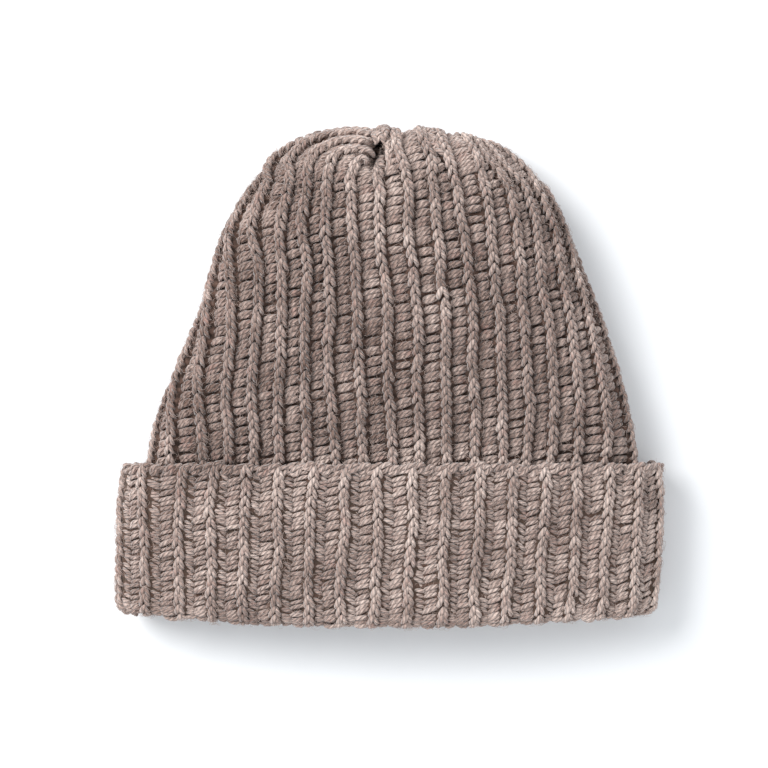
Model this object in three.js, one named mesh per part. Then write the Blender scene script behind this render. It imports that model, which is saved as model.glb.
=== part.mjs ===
// A ribbed crochet beanie lying flat, its lower part turned up as a cuff. Units are millimetres.
// +X runs across the hat, +Y from the opening to the gathered top, +Z up from the surface it lies on.
// The origin is on that surface, under the middle of the hat.
// The real hat is one piece of fabric. It is modelled as two solids, the crown and the turned-up cuff,
// which meet face to face inside the hat, behind the fold.
import * as THREE from "three";

// Driving dimensions
const cuffWidth = 230; // across the cuff, lying flat
const cuffDepth = 68; // from the fold to the cuff's free edge
const cuffHeight = 33; // thickness of the four layers and the hollow at the cuff
const hatLength = 209; // from the fold to the top of the crown
const crownHeight = 40; // thickness of the crown where it is fullest
const crownSetIn = 11.8; // how far each side of the crown stands in from the cuff's, at the cuff's edge
const fabricThickness = 4.4; // one layer, from the ridges outside to the ridges inside
const ribRelief = 1.5; // from the top of a ridge down to the valley beside it
const ribCount = 36;
const layerGap = 0.5; // between the cuff and the crown inside it
const seatGap = 0.3; // between the crown's lower end and the cuff's lip
const lipDepth = 14; // how far the fabric behind the fold counts as part of the cuff
const foldBulge = 5.8; // how much further the fold reaches in the middle than at the sides
const cuffLean = 2.5; // sideways lean of the cuff, from its fold to its free edge
const cuffTaper = 1.5; // how much each side of the cuff draws in at its fold and at its free edge
const cuffSideRadius = 11;
const crownSideRadius = 13;
const crownShift = 4; // unit for the sideways place of the crown's sections
const edgeRound = 1.4; // rounding of the cuff's free edge
const pressedDepth = 1.5; // how deep the fabric is pressed flat where it rests
const pleatCount = 9;
const pleatDepth = 1.6; // depth of the folds that the gather makes

// The crown's cross-sections outside the cuff, on the way from the cuff's edge to the gather.
// front, back: how far along the crown its front and back lie, as shares of the length outside the cuff.
// frontHeight, backHeight: their heights, as shares of crownHeight; the back's is taken from what it rests on.
// width: share of the crown's width at the cuff's edge. shift: sideways place, as a share of crownShift.
// rest: height of what it rests on, as a share of the cuff's one layer and its gap.
// right, left: the rib at its right-hand and left-hand side, counted over the front.
// relief, pleat: depths of the ribs and of the gather's folds, as shares of ribRelief and pleatDepth.
const crownColumns = [
  "front", "frontHeight", "back", "backHeight", "width", "shift", "rest", "right", "left", "relief", "pleat",
];
const crownSections = [
  [0.085, 0.76, 0.085, 0.0, 0.983, 0.35, 0.5, 0.0, 18.0, 1.0, 0.0],
  [0.227, 0.84, 0.227, 0.0, 0.929, 0.5, 0.0, 0.2, 17.5, 1.0, 0.0],
  [0.404, 0.93, 0.4, 0.0, 0.837, 0.85, 0.0, 0.5, 16.8, 1.0, 0.0],
  [0.58, 0.98, 0.56, 0.0, 0.76, 0.7, 0.0, 0.8, 16.1, 1.0, 0.0],
  [0.71, 1.0, 0.71, 0.0, 0.69, 0.6, 0.0, 1.3, 15.5, 1.0, 0.0],
  [0.794, 0.975, 0.837, 0.02, 0.605, 0.75, 0.0, 1.7, 15.1, 1.0, 0.0],
  [0.844, 0.93, 0.93, 0.1, 0.51, 0.75, 0.0, 1.9, 15.0, 1.0, 0.3],
  [0.872, 0.885, 0.978, 0.24, 0.42, 0.5, 0.0, 1.8, 15.2, 0.9, 0.7],
  [0.89, 0.845, 1.0, 0.42, 0.34, 0.2, 0.0, 1.5, 15.6, 0.7, 1.0],
  [0.903, 0.8, 0.985, 0.6, 0.23, -0.3, 0.0, 1.0, 16.2, 0.4, 1.0],
  [0.912, 0.74, 0.957, 0.68, 0.12, -0.9, 0.0, 0.5, 17.0, 0.1, 0.5],
  [0.918, 0.66, 0.937, 0.64, 0.05, -1.2, 0.0, 0.0, 17.5, 0.0, 0.0],
];

// The rib at the cuff's right-hand and left-hand side. Turning the fabric up shows its other face,
// whose ridges lie half a rib from the crown's.
const cuffRibs = { right: 0, left: 17 };
const turnedRibOffset = 0.5;

// Shape of a cross-section: two flattened halves that meet at its girdle, with round sides
const girdleShare = 0.45; // height of the girdle, as a share of the section's thickness
const mostRound = 0.9; // largest side radius, as a share of the half it rounds
const sideCrowding = 2.5; // how strongly the measuring points crowd to the sides
const pointsPerQuarter = 40;

// Points of one rib. at: place in the rib, whose ridge is at 0. sunk: share of the relief.
const ridgeShare = 0.38; // part of a rib's width that its ridge takes
const ridgedRib = [
  { at: -ridgeShare / 2, sunk: 0 },
  { at: ridgeShare / 2, sunk: 0 },
  { at: 0.5, sunk: 1 },
];
const innerRib = [
  { at: 0, sunk: 1 },
  { at: 0.5, sunk: 0 },
];
const gatheredRib = [{ at: 0, sunk: 0 }];

const cuffFaceRows = 5;
const foldSteps = 6;
const gatheredRows = 3; // rows next to the gather's middle, with one point to a rib

const crownLength = hatLength - cuffDepth;
const halfCuff = cuffWidth / 2;
const tuckInset = fabricThickness + layerGap;
const foldRadius = fabricThickness + layerGap / 2;

// Cross-sections. Points of a profile are [reach, height], with reach counted from the fold.

function cuffSection(reach) {
  const across = (2 * reach) / cuffDepth - 1;
  return {
    front: [reach, cuffHeight],
    back: [reach, -pressedDepth],
    frontNormal: [0, 1],
    backNormal: [0, -1],
    sideNormal: 1,
    halfWidth: halfCuff - cuffTaper * across ** 2,
    shift: (cuffLean * across) / 2,
    sideRadius: cuffSideRadius,
    rest: 0,
    right: cuffRibs.right,
    left: cuffRibs.left,
    relief: ribRelief,
    pleat: 0,
  };
}

function tuckedSection(reach, halfWidth, right, left) {
  const around = cuffSection(reach);
  return {
    ...around,
    front: [reach, cuffHeight - tuckInset],
    back: [reach, tuckInset - pressedDepth],
    halfWidth,
    sideRadius: cuffSideRadius - tuckInset,
    rest: tuckInset,
    right,
    left,
  };
}

function tableSection(values) {
  const row = Object.fromEntries(crownColumns.map((name, i) => [name, values[i]]));
  const rest = row.rest * tuckInset;
  return {
    front: [cuffDepth + row.front * crownLength, row.frontHeight * crownHeight],
    back: [cuffDepth + row.back * crownLength, rest + row.backHeight * crownHeight - pressedDepth],
    halfWidth: row.width * (halfCuff - crownSetIn),
    shift: row.shift * crownShift,
    sideRadius: crownSideRadius,
    rest,
    right: row.right,
    left: row.left,
    relief: row.relief * ribRelief,
    pleat: row.pleat * pleatDepth,
  };
}

function girdle(section) {
  return [0, 1].map((i) => section.back[i] + girdleShare * (section.front[i] - section.back[i]));
}

function unit(vector) {
  const length = Math.hypot(...vector);
  return vector.map((value) => value / length);
}

// Outward directions at a section's front, back and sides, from the sections before and after it
function addNormals(section, before, after) {
  const along = (name) => unit([0, 1].map((i) => after[name][i] - before[name][i]));
  const frontWay = along("front");
  const backWay = along("back");
  const sideStart = girdle(before);
  const sideEnd = girdle(after);
  const sideWay = unit([after.halfWidth - before.halfWidth, sideEnd[0] - sideStart[0], sideEnd[1] - sideStart[1]]);
  const upWay = unit([0, 1].map((i) => section.front[i] - section.back[i]));
  section.frontNormal = [-frontWay[1], frontWay[0]];
  section.backNormal = [backWay[1], -backWay[0]];
  section.sideNormal = sideWay[1] * upWay[1] - sideWay[2] * upWay[0];
}

function crownSectionsInOrder() {
  const lip = cuffSection(lipDepth);
  const right = cuffRibs.right + turnedRibOffset;
  const left = cuffRibs.left + turnedRibOffset;
  const first = tableSection(crownSections[0]);
  const sections = [
    tuckedSection(lipDepth, lip.halfWidth - tuckInset, right, left),
    tuckedSection(cuffDepth, halfCuff - crownSetIn, first.right, first.left),
    ...crownSections.map(tableSection),
  ];
  const last = sections.length - 1;
  sections.forEach((section, i) => {
    addNormals(section, sections[Math.max(i - 1, 0)], sections[Math.min(i + 1, last)]);
  });
  return sections;
}

// The section with its outline moved in by an inset
function shrink(section, inset) {
  const move = (point, normal) => point.map((value, i) => value - inset * normal[i]);
  const front = move(section.front, section.frontNormal);
  const back = move(section.back, section.backNormal);
  const middle = girdle({ front, back });
  const halfWidth = section.halfWidth - inset * section.sideNormal;
  const frontReach = Math.hypot(front[0] - middle[0], front[1] - middle[1]);
  const backReach = Math.hypot(back[0] - middle[0], back[1] - middle[1]);
  const least = Math.min(halfWidth, frontReach, backReach);
  return {
    middle,
    upWay: unit([front[0] - back[0], front[1] - back[1]]),
    halfWidth,
    frontReach,
    backReach,
    radius: Math.min(section.sideRadius - inset, mostRound * least),
    floor: section.rest + inset,
    shift: section.shift,
  };
}

// A point of a section's outline. place runs from 0 at the right-hand side over the front to 2 at the
// left-hand side and over the back to 4. Each half is an ellipse with a rounding of the side radius laid
// round it, and is pressed flat where it would go below what it rests on.
function outlinePoint(shape, place) {
  const quarter = Math.floor(place) % 4;
  const part = place - Math.floor(place);
  const fromSide = quarter % 2 === 0;
  const crowded = fromSide ? part ** sideCrowding : 1 - (1 - part) ** sideCrowding;
  const angle = (Math.PI / 2) * (quarter + crowded);
  const reach = quarter < 2 ? shape.frontReach : shape.backReach;
  const across = shape.halfWidth - shape.radius;
  const up = reach - shape.radius;
  const [normalX, normalUp] = unit([up * Math.cos(angle), across * Math.sin(angle)]);
  const x = shape.shift + across * Math.cos(angle) + shape.radius * normalX;
  const rise = up * Math.sin(angle) + shape.radius * normalUp;
  const reachAlong = shape.middle[0] + rise * shape.upWay[0];
  const height = shape.middle[1] + rise * shape.upWay[1];
  return new THREE.Vector3(x, reachAlong, Math.max(height, shape.floor));
}

// Where each rib lies on a section: from the right-hand side to the left-hand side over the front,
// and back under it. Front and back share the ribs out evenly, with a smooth change at the sides.
function ribScale(section) {
  const shape = shrink(section, 0);
  const count = 4 * pointsPerQuarter;
  const places = Array.from({ length: count + 1 }, (_, i) => i / pointsPerQuarter);
  const lengths = [0];
  let before = outlinePoint(shape, 0);
  for (let i = 1; i <= count; i += 1) {
    const point = outlinePoint(shape, places[i]);
    lengths.push(lengths[i - 1] + point.distanceTo(before));
    before = point;
  }
  const frontLength = lengths[count / 2];
  const backLength = lengths[count] - frontLength;
  const frontShare = (section.left - section.right) / ribCount;
  const unevenness = Math.PI * (0.5 - frontShare);
  const ribs = lengths.map((length, i) => {
    const inFront = i <= count / 2;
    const share = inFront ? length / frontLength / 2 : 0.5 + (length - frontLength) / backLength / 2;
    const waned = (unevenness / (2 * Math.PI)) * (1 - Math.cos(2 * Math.PI * share));
    return section.right + ribCount * (share - waned);
  });
  return { places, ribs };
}

// The place on a section's outline where a rib runs
function placeOfRib(scale, rib) {
  const first = scale.ribs[0];
  const turns = Math.floor((rib - first) / ribCount);
  const wanted = rib - turns * ribCount;
  let i = 1;
  while (i < scale.ribs.length - 1 && scale.ribs[i] < wanted) i += 1;
  const part = (wanted - scale.ribs[i - 1]) / (scale.ribs[i] - scale.ribs[i - 1]);
  return scale.places[i - 1] + part * (scale.places[i] - scale.places[i - 1]);
}

// The fold reaches further in the middle of the cuff than at its sides, and the hat is centred
function settle(point) {
  const atFold = Math.max(0, 1 - point.y / cuffDepth);
  const side = (point.x / halfCuff) ** 2;
  return new THREE.Vector3(point.x, point.y + foldBulge * side * atFold - hatLength / 2, point.z);
}

// A closed loop of points round the hat. insetOf gives the inset of a point from its rib and its sunk share.
function makeLoop(section, pattern, insetOf) {
  const scale = ribScale(section);
  const loop = [];
  for (let rib = 0; rib < ribCount; rib += 1) {
    for (const { at, sunk } of pattern) {
      const inset = insetOf(rib + at, sunk);
      loop.push({ rib: rib + at, point: settle(outlinePoint(shrink(section, inset), placeOfRib(scale, rib + at))) });
    }
  }
  return loop;
}

// Faces between two loops, which may differ in their number of points
function joinLoops(faces, from, to) {
  const ribAt = (loop, i) => loop[i % loop.length].rib + ribCount * Math.floor(i / loop.length);
  const pointAt = (loop, i) => loop[i % loop.length].point;
  let i = 0;
  let j = 0;
  while (i < from.length || j < to.length) {
    const fromNext = i < from.length && (j >= to.length || ribAt(from, i + 1) <= ribAt(to, j + 1));
    if (fromNext) {
      faces.push([pointAt(from, i), pointAt(from, i + 1), pointAt(to, j)].reverse());
      i += 1;
    } else {
      faces.push([pointAt(from, i), pointAt(to, j + 1), pointAt(to, j)].reverse());
      j += 1;
    }
  }
}

function capLoop(faces, loop, flipped) {
  const centre = new THREE.Vector3();
  loop.forEach(({ point }) => centre.addScaledVector(point, 1 / loop.length));
  loop.forEach(({ point }, i) => {
    const next = loop[(i + 1) % loop.length].point;
    faces.push(flipped ? [point, next, centre] : [next, point, centre]);
  });
}

function meshOf(name, faces, material) {
  const geometry = new THREE.BufferGeometry();
  geometry.setFromPoints(faces.flat());
  geometry.computeVertexNormals();
  const mesh = new THREE.Mesh(geometry, material);
  mesh.name = name;
  return mesh;
}

// Crown: the outer face from its lower end to the gather, and the inner face back again

function pleatInset(section, rib) {
  const turn = (2 * Math.PI * pleatCount * rib) / ribCount;
  return (section.pleat * (1 - Math.cos(turn))) / 2;
}

function crownFaces() {
  const sections = crownSectionsInOrder();
  const firstGathered = sections.length - gatheredRows;
  const outer = sections.map((section, i) => {
    const pattern = i < firstGathered ? ridgedRib : gatheredRib;
    return makeLoop(section, pattern, (rib, sunk) => sunk * section.relief + pleatInset(section, rib));
  });
  const innerSections = sections.filter((_, i) => i < firstGathered || i % 2 === 1);
  const inner = innerSections.map((section) => {
    const pattern = sections.indexOf(section) < firstGathered ? innerRib : gatheredRib;
    return makeLoop(section, pattern, (rib, sunk) => {
      return fabricThickness - sunk * section.relief + pleatInset(section, rib);
    });
  });
  const path = [...inner.reverse(), ...outer];
  const faces = [];
  for (let i = 1; i < path.length; i += 1) joinLoops(faces, path[i - 1], path[i]);
  capLoop(faces, path[0], true);
  capLoop(faces, path[path.length - 1], false);
  return faces;
}

// Cuff: a closed path of loops, round the fold, up the face that shows, over the free edge, down its
// other face to the fold, up the face of the lip and down the inside of the hat.
// way: the direction that the fabric faces there, as [reach, inset].

function cuffLoop(reach, inset, way, pattern) {
  const scaleSection = cuffSection(reach);
  const scale = ribScale(scaleSection);
  const loop = [];
  for (let rib = 0; rib < ribCount; rib += 1) {
    for (const { at, sunk } of pattern) {
      const sunkReach = reach - way[0] * sunk * ribRelief;
      const sunkInset = inset - way[1] * sunk * ribRelief;
      const place = placeOfRib(scale, rib + at);
      loop.push({ rib: rib + at, point: settle(outlinePoint(shrink(cuffSection(sunkReach), sunkInset), place)) });
    }
  }
  return loop;
}

function cuffFaces() {
  const inside = 2 * foldRadius;
  const lipEnd = lipDepth - seatGap;
  const outward = [0, -1];
  const inward = [0, 1];
  const path = [];
  for (let step = foldSteps; step >= 1; step -= 1) {
    const angle = (Math.PI * step) / foldSteps;
    const way = [-Math.sin(angle), -Math.cos(angle)];
    path.push(cuffLoop(foldRadius * (1 + way[0]), foldRadius * (1 + way[1]), way, ridgedRib));
  }
  for (let row = 0; row < cuffFaceRows; row += 1) {
    const share = row / (cuffFaceRows - 1);
    path.push(cuffLoop(foldRadius + share * (cuffDepth - edgeRound - foldRadius), 0, outward, ridgedRib));
  }
  path.push(cuffLoop(cuffDepth, edgeRound + ribRelief / 2, [0, 0], ridgedRib));
  path.push(cuffLoop(cuffDepth - edgeRound, fabricThickness, inward, innerRib));
  path.push(cuffLoop(cuffDepth / 2, fabricThickness, inward, innerRib));
  path.push(cuffLoop(foldRadius, fabricThickness, inward, innerRib));
  path.push(cuffLoop(foldRadius, tuckInset, outward, innerRib));
  path.push(cuffLoop(lipEnd, tuckInset, outward, innerRib));
  path.push(cuffLoop(lipEnd, inside, inward, ridgedRib));
  const faces = [];
  path.forEach((loop, i) => joinLoops(faces, loop, path[(i + 1) % path.length]));
  return faces;
}

const wool = new THREE.MeshStandardMaterial({ color: 0x99857c, roughness: 0.95, metalness: 0 });
const cuffWool = wool.clone();

const beanie = new THREE.Group();
beanie.add(meshOf("crown", crownFaces(), wool));
beanie.add(meshOf("cuff", cuffFaces(), cuffWool));

export default beanie;
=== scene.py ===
"""A ribbed crochet beanie lying flat, its lower part turned up as a cuff, laid out strand by strand."""

import math

import bpy
import numpy as np
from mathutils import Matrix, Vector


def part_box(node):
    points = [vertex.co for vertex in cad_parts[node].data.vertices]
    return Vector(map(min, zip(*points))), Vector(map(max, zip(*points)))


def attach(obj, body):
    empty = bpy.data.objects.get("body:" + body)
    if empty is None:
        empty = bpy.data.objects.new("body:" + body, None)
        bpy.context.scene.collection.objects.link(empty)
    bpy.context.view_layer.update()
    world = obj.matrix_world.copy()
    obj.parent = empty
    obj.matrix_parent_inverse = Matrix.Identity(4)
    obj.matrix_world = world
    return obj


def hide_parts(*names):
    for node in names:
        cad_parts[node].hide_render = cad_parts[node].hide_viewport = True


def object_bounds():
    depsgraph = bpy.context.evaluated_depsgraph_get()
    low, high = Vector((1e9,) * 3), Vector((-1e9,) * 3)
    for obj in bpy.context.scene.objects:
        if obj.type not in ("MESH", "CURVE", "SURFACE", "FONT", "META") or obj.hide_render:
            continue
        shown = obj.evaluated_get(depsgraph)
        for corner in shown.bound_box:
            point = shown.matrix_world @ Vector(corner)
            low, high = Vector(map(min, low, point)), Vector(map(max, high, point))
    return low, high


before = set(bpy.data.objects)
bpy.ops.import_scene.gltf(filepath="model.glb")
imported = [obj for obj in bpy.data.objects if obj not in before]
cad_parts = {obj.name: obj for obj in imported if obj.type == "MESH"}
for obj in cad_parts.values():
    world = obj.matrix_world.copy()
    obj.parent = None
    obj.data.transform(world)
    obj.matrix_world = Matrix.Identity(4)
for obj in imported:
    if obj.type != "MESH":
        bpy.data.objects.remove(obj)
CAD_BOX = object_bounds()

bl_info = {
    "name": "Ribbed crochet beanie",
    "version": (1, 0, 0),
    "blender": (4, 5, 0),
    "location": "3D View > Sidebar > Beanie",
    "description": "Makes a ribbed crochet beanie with a turned-up cuff from strands of yarn",
    "category": "Add Mesh",
}

MM = 0.001  # metres in a millimetre


def extent_mm(box, axis):
    return (box[1][axis] - box[0][axis]) / MM


# Sizes in millimetres, as in the CAD model. The overall ones come from the frame.
CUFF_WIDTH = round(extent_mm(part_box("cuff"), 0))
CUFF_DEPTH = round(extent_mm(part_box("cuff"), 1))
CUFF_HEIGHT = round(extent_mm(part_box("cuff"), 2))
HAT_LENGTH = round(extent_mm(CAD_BOX, 1))
CROWN_HEIGHT = round(extent_mm(CAD_BOX, 2))
CROWN_SET_IN = 11.8  # how far each side of the crown stands in from the cuff's
FABRIC_THICKNESS = 4.4
RIB_COUNT = 36
LAYER_GAP = 0.5  # between the cuff and the crown inside it
SEAT_GAP = 0.3  # between the crown's lower end and the cuff's lip
LIP_DEPTH = 14  # how far the fabric behind the fold counts as part of the cuff
FOLD_BULGE = 5.8  # how much further the fold reaches in the middle than at the sides
CUFF_LEAN = 2.5
CUFF_TAPER = 1.5
CUFF_SIDE_RADIUS = 11
CROWN_SIDE_RADIUS = 13
CROWN_SHIFT = 4
PRESSED_DEPTH = 1.5  # how deep the fabric is pressed flat where it rests

# The crown's cross-sections outside the cuff, from the cuff's edge to the gather. front and back: how far
# along the crown they lie. rest: what it rests on, as a share of one layer. right and left: the ribs there.
CROWN_COLUMNS = ("front", "front_height", "back", "back_height", "width", "shift", "rest", "right", "left")
CROWN_SECTIONS = (
    (0.085, 0.76, 0.085, 0.0, 0.983, 0.35, 0.5, 0.0, 18.0),
    (0.227, 0.84, 0.227, 0.0, 0.929, 0.5, 0.0, 0.2, 17.5),
    (0.404, 0.93, 0.4, 0.0, 0.837, 0.85, 0.0, 0.5, 16.8),
    (0.58, 0.98, 0.56, 0.0, 0.76, 0.7, 0.0, 0.8, 16.1),
    (0.71, 1.0, 0.71, 0.0, 0.69, 0.6, 0.0, 1.3, 15.5),
    (0.794, 0.975, 0.837, 0.02, 0.605, 0.75, 0.0, 1.7, 15.1),
    (0.85, 0.925, 0.93, 0.1, 0.515, 0.75, 0.0, 2.0, 14.5),
)
CUFF_RIBS = (0, 17)  # the rib at the cuff's right-hand and left-hand side

# Shape of a cross-section, as in the CAD model
GIRDLE_SHARE = 0.45  # height of the girdle, as a share of the section's thickness
MOST_ROUND = 0.9  # largest side radius, as a share of the half it rounds
SIDE_CROWDING = 2.5  # how strongly the measuring points crowd to the sides
POINTS_PER_QUARTER = 120

# How finely the faces are measured, and how they swell under the stitches
COLUMNS_PER_RIB = 16
CROWN_ROWS = 320
CLOSING_ROWS = 70  # rows past the sections, on the gather's paths
CUFF_ROWS = 170
BLEND_COLUMNS = 3  # the gather's paths change from rib to rib over this many columns to each side
TANGENT_ROWS = 4  # rows that give the direction in which the ribs leave the sections
GATHER_SWELL = 0.6  # mm that the valleys rise towards the gather
SWELL_BEFORE = 30  # rows before the crown's last section at which that starts
SWELL_ROWS = 40  # rows over which it grows
FOLD_SWELL = 1.5  # mm that the valleys rise at the fold
FOLD_SWELL_REACH = 3  # mm from the fold
WAVERS = ((61, 0.028), (33, 0.018), (19, 0.012))  # slight wavering of the ribs: lengths in mm, sizes in ribs

# The gathered top: paths in mm that some ribs take on past the sections, round the dimple on the front or
# over the hat's end, until they dive inside. Each one: its rib, how far along the crown it leaves the
# sections, and its points.
GATHER_PATHS = (
    (0.5, 0.79,
     (61.5, 82, 10), (54.8, 88.4, 9), (47.8, 93.2, 8.5), (39.8, 96.6, 8), (28, 97, 8)),
    (2, 0.8,
     (60.8, 83.8, 20), (55.2, 90.2, 17), (48.8, 95.6, 14.5), (41.8, 99.2, 11.5), (29, 98.5, 8.5)),
    (3, 0.82,
     (50.2, 85.6, 29.5), (46.8, 90.6, 25.5), (43.6, 95.4, 20), (39.2, 99.8, 13.5), (28.5, 99, 9)),
    (4, 0.83,
     (44, 86.9, 32.5), (40.7, 91.6, 28.5), (38, 96.4, 23), (35.1, 100.9, 15), (26.5, 100.2, 9)),
    (5, 0.83,
     (37.6, 88.2, 34.5), (36, 93.4, 30.5), (34.2, 98, 25), (31.4, 102, 16), (23.5, 101, 9)),
    (6, 0.83,
     (24, 88.4, 36), (22.4, 94.6, 32.5), (21, 99.9, 27), (20, 103.6, 17.5), (16.5, 102.2, 8.5)),
    (7, 0.83,
     (16.9, 89.2, 36.8), (15.7, 95.2, 33.5), (14.4, 100.8, 27), (13, 104.7, 17.5), (10.5, 102.6, 8)),
    (8, 0.83,
     (4.8, 88.2, 37.5), (3.5, 94.8, 34.5), (2.3, 100.3, 29), (1.8, 104, 18.5), (1, 103, 8)),
    (8.5, 0.83,
     (-1.2, 86.1, 38), (-2.6, 91.1, 37), (-3.2, 97, 33.5), (-2.8, 103, 23), (-2.9, 103.2, 11)),
    (9, 0.83,
     (-4.8, 83, 37), (-5.2, 85, 35), (-5.4, 86.3, 31), (-5.5, 87.2, 25), (-5.6, 88, 16)),
    (10, 0.83,
     (-15.4, 84.4, 37.5), (-14.4, 87.3, 36.8), (-12.6, 89.2, 35.4), (-9.6, 89.2, 31.5), (-6.2, 89.2, 17)),
    (11, 0.83,
     (-25.3, 87, 36.3), (-23.4, 91.4, 34.8), (-17.6, 94, 34.4), (-10.7, 93.4, 32), (-6.2, 91.8, 18)),
    (12, 0.83,
     (-33.4, 88.8, 33), (-30, 94.9, 30), (-20, 98.6, 30.4), (-9.8, 97.8, 30.6), (-5.2, 96.2, 20)),
    (13, 0.83,
     (-42.4, 91.4, 27), (-36, 98.8, 22.5), (-21.9, 102.4, 23.5), (-8.4, 101.8, 25.5), (-4, 100.4, 19)),
    (14, 0.81,
     (-52.2, 89.4, 20.5), (-45, 96.4, 16.5), (-31.8, 102.4, 15.5), (-16.6, 104.6, 16.5), (-4, 103.6, 16.5)),
    (16, 0.79,
     (-52, 86.8, 10), (-45.2, 94, 8.5), (-32.4, 100.6, 9), (-16.4, 103.8, 10.5), (-3.6, 103.8, 12)),
    (18, 0.79,
     (-45, 86, 3.5), (-39.3, 92, 4), (-30.4, 97.6, 5.5), (-18, 101.8, 8), (-2.8, 103.2, 10)),
    (21, 0.79,
     (-27, 88, 1.5), (-22.5, 93, 2.5), (-17, 97.2, 4), (-10, 100.8, 6), (-2.2, 102.6, 8.5)),
    (24, 0.79,
     (-9, 89, 1.5), (-7.5, 93.4, 2.2), (-5.2, 97.6, 3.5), (-2.4, 101, 5), (-0.2, 102.6, 7.5)),
    (28, 0.79,
     (14, 88, 1.5), (12.5, 92.4, 2.2), (10.8, 96.6, 3.5), (8.4, 100.2, 5), (6, 102.2, 7.5)),
    (32, 0.79,
     (34, 85, 2), (30, 89.4, 2.5), (25.5, 93.2, 3.5), (20.5, 97, 5), (15.5, 100, 7)),
    (35, 0.79,
     (50, 82.4, 4), (44.4, 87, 4), (38, 91.2, 4.5), (31, 94.9, 5.5), (24, 97.8, 7)),
)

# Loops of the gather that belong to no rib: a small curl left of the dimple, one over its rim, and a few
# at its right, where two ribs part
GATHER_LOOPS = (
    ((-14.2, 87.0, 35.4), (-13.6, 89.2, 36.4), (-11.8, 90.2, 36.7), (-10.0, 89.2, 36.5), (-10.6, 87.2, 35.4)),
    ((-12.8, 92.0, 34.4), (-10.2, 93.2, 35.2), (-8.0, 92.4, 33.8), (-6.8, 90.6, 30.0)),
    ((-2.4, 83.0, 34.0), (0.2, 83.9, 35.8), (3.4, 84.6, 34.6)),
    ((-2.4, 84.6, 34.0), (0.2, 85.7, 36.0), (3.4, 86.6, 34.6)),
    ((1.0, 99.0, 28.2), (3.4, 99.8, 27.8), (6.0, 100.6, 26.0)),
)

# Where the last ribs meet: from above the dimple over the hat's end to the surface it lies on
GATHER_SEAM = (
    (-5.4, 97.8, 29.6),
    (-4.0, 100.2, 28.0),
    (-3.1, 102.4, 24.2),
    (-3.3, 103.7, 19.0),
    (-3.0, 104.0, 14.0),
    (-1.6, 103.4, 9.0),
    (1.0, 102.2, 5.5),
)

SEAM_STRANDS = 44

# Where short strands fill the crown's end: from rib to rib, over how many mm from the ribs' ends, how many
END_TANGLES = ((16, 36, 17, 170), (13.25, 13.75, 36, 60), (6.35, 6.65, 30, 26))

# The ribs don't stand quite evenly. Each row: a place along the hat in mm, then pairs of a rib and how far it
# stands off its even place there, in ribs.
CROWN_RIB_LEAN = (
    (-24.5,
     (0, 0.45), (1.4, 0.7), (5, 0.24), (9, 0.1), (13, -0.04), (16, -0.38), (18, -0.1), (33, 0)),
    (15.2,
     (0, 0.55), (1, 0.72), (4, 0.34), (8, 0.05), (11, 0.07), (13, -0.33), (15, -0.52), (18, -0.1),
     (33, 0.05)),
    (45.6,
     (0, 0.65), (1, 0.82), (4, 0.3), (7, 0), (10, -0.18), (12, -0.57), (14, -0.78), (16, -0.3), (33, 0.1)),
    (73.6,
     (0, 0.5), (2, 0.85), (4, 0.45), (6, 0.46), (8, 0.07), (11, -0.3), (13, -0.76), (15, -0.3), (33, 0.1)),
)
CUFF_RIB_LEAN = (
    (-72.5,
     (0, 0.49), (3, 0.3), (7, 0), (10, -0.17), (12, -0.35), (15, -0.52), (17, -0.39), (19, 0), (33, 0.1)),
    (-47.4,
     (0, 0.52), (1, 0.33), (4, 0.17), (7, 0), (10, -0.17), (13, -0.32), (15, -0.42), (17, -0.06), (33, 0.1)),
)

# The photograph's frame
PHOTO_SCALE = 0.4174  # mm to a pixel
PHOTO_SIZE = 768  # pixels
HAT_CENTRE_PX = (390.5, 376.4)
CAMERA_HEIGHT = 1200
SENSOR_WIDTH = 36
SCALE_HEIGHT = 0.45  # where the scale holds, as a share of the crown's height

# The stage. Each light: its name, its place in metres, its power in watts and its size in metres.
LIGHTS = (("key", (-0.93, 0.66, 1.05), 23.5, 0.92), ("fill", (0.9, -0.3, 1.4), 2.5, 1.2))
SKY_COLOUR = "#F2F6FA"
SKY_STRENGTH = 0.83
FLOOR_SIZE = 6.0  # metres
FLOOR_DEPTH = 0.4  # mm under the hat
FAR_END = 20  # metres that the camera sees


def linear(hex_colour):
    """Turns an sRGB hex value into the linear values that a shader takes."""
    parts = [int(hex_colour[i : i + 2], 16) / 255 for i in (1, 3, 5)]
    return tuple(p / 12.92 if p <= 0.04045 else ((p + 0.055) / 1.055) ** 2.4 for p in parts) + (1.0,)


LENGTH = {"unit": "LENGTH", "precision": 4}
COLOUR = {"subtype": "COLOR", "size": 4}


class BeanieSizes(bpy.types.PropertyGroup):
    """Sizes of the yarn and its stitches"""

    yarn: bpy.props.FloatProperty(
        name="Yarn", description="Thickness of the yarn", default=2.1 * MM, **LENGTH
    )
    stitch: bpy.props.FloatProperty(
        name="Stitch", description="Height of one stitch along a rib", default=4.05 * MM, **LENGTH
    )
    lay: bpy.props.FloatProperty(
        name="Lay", description="Length in which the plies turn once", default=8.5 * MM, **LENGTH
    )
    plies: bpy.props.IntProperty(
        name="Plies", description="Number of plies twisted together", default=4
    )


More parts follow.
